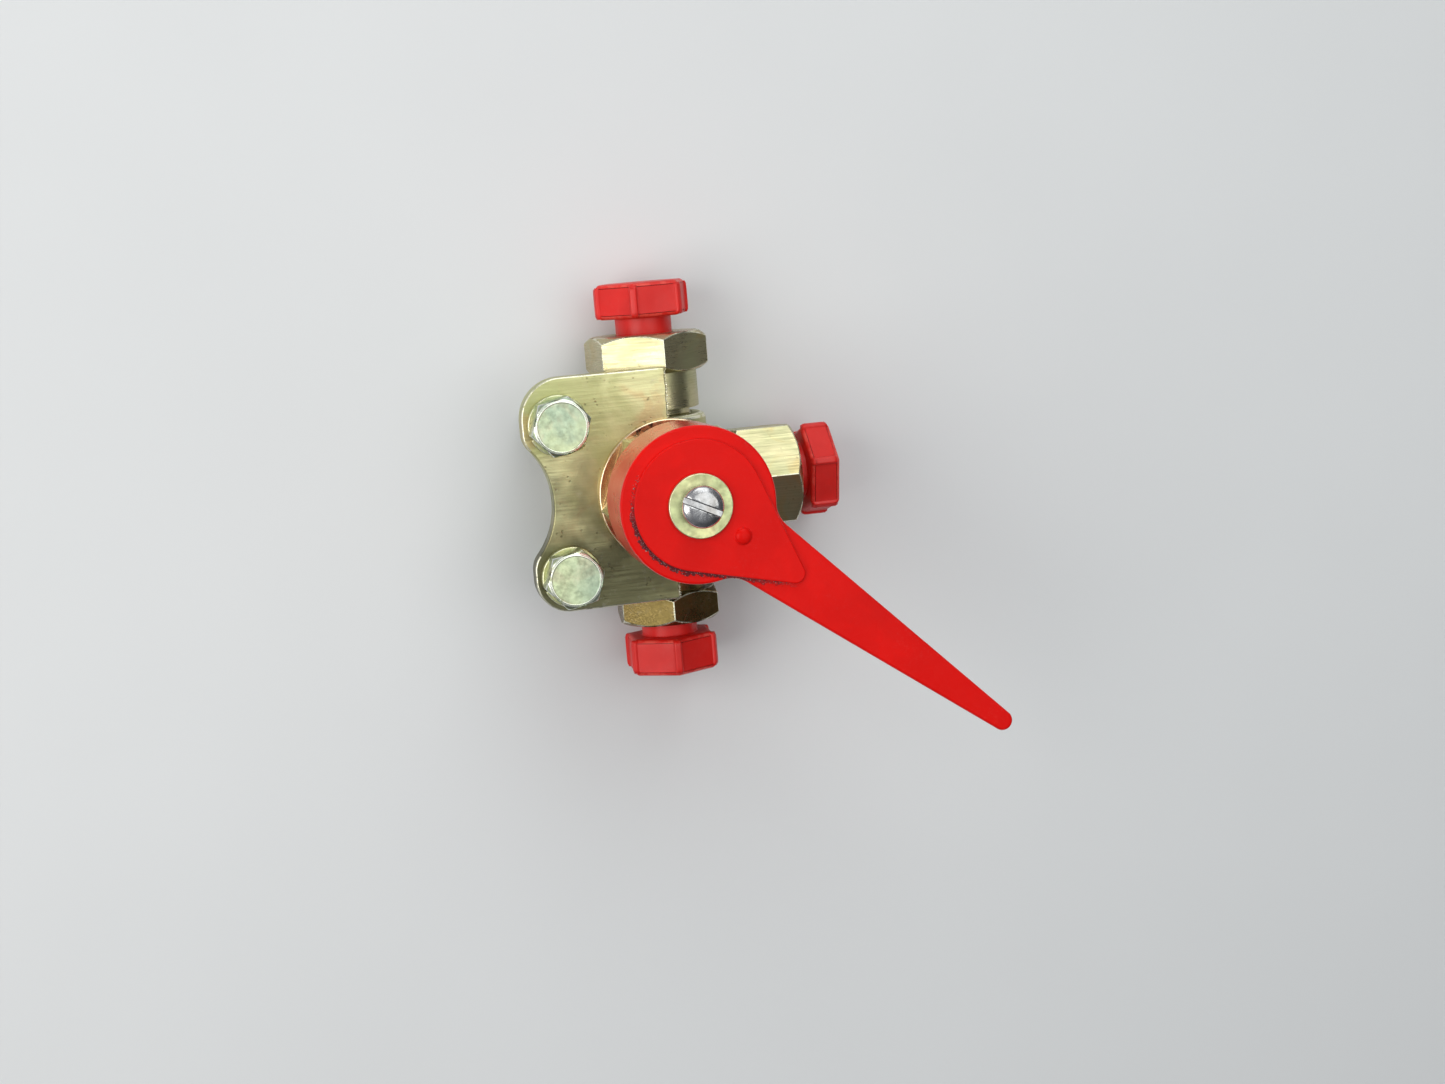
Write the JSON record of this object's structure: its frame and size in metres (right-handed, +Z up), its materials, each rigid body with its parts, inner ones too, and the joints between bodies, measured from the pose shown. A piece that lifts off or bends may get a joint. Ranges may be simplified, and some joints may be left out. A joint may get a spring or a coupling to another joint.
{
  "type": "three way ball valve",
  "caption": "Lever operated three way ball valve with a T-shaped forged body, hexagon port adapters, a side mounting flange and protective port plugs.",
  "frame": {"origin": "middle between the two mounting bolts, on the lower face of their nuts, where a bracket would seat", "axes": "+X towards the side port, +Y towards the top port, +Z up the stem towards the lever; the studs point along -Z"},
  "size_m": [0.1066, 0.1128, 0.0698],
  "materials": {
    "forged_zinc": "yellow zinc plated forging, satin",
    "adapter_zinc": "yellow zinc plated turned steel",
    "bonnet_gold": "bright gold passivated steel",
    "copper": "dull copper",
    "lever_paint": "gloss red paint",
    "plug_plastic": "soft moulded red plastic",
    "bolt_zinc": "greenish zinc plating",
    "washer_zinc": "yellow green zinc plating",
    "screw_steel": "bright turned steel",
    "ball_chrome": "hard chrome, polished",
    "stem_steel": "ground steel",
    "seat_plastic": "white seat plastic",
    "seal_rubber": "black nitrile rubber"
  },
  "bodies": {
    "valve": {"valve_body": "forged_zinc", "top_adapter": "adapter_zinc", "bottom_adapter": "adapter_zinc", "side_adapter": "adapter_zinc", "top_seat": "seat_plastic", "bottom_seat": "seat_plastic", "side_seat": "seat_plastic", "back_seat": "seat_plastic", "top_seat_o_ring": "seal_rubber", "bottom_seat_o_ring": "seal_rubber", "side_seat_o_ring": "seal_rubber", "back_seat_o_ring": "seal_rubber", "top_adapter_o_ring": "seal_rubber", "bottom_adapter_o_ring": "seal_rubber", "side_adapter_o_ring": "seal_rubber", "bonnet_seal_ring": "copper", "bonnet": "bonnet_gold", "stop_pin": "stem_steel", "stem_thrust_washer": "seat_plastic", "flange_bolts": "bolt_zinc", "flange_nuts": "bolt_zinc", "spring_washers": "bolt_zinc"},
    "lever_group": {"ball": "ball_chrome", "stem": "stem_steel", "lower_stem_o_ring": "seal_rubber", "upper_stem_o_ring": "seal_rubber", "lever": "lever_paint", "lever_washer": "washer_zinc", "lever_screw": "screw_steel"},
    "top_plug": {"top_plug": "plug_plastic"},
    "bottom_plug": {"bottom_plug": "plug_plastic"},
    "side_plug": {"side_plug": "plug_plastic"}
  },
  "joints": [
    {"name": "lever_turn", "type": "hinge", "parent": "valve", "child": "lever_group", "pos_m": [0.0262, -0.00065, -0.0056], "axis": [0, 0, 1], "range_deg": [-49.4, 40.6]},
    {"name": "top_plug_pull", "type": "slide", "parent": "valve", "child": "top_plug", "axis": [0, 1, 0], "range_m": [0, 0.02]},
    {"name": "bottom_plug_pull", "type": "slide", "parent": "valve", "child": "bottom_plug", "axis": [0, -1, 0], "range_m": [0, 0.02]},
    {"name": "side_plug_pull", "type": "slide", "parent": "valve", "child": "side_plug", "axis": [1, 0, 0], "range_m": [0, 0.02]}
  ]
}
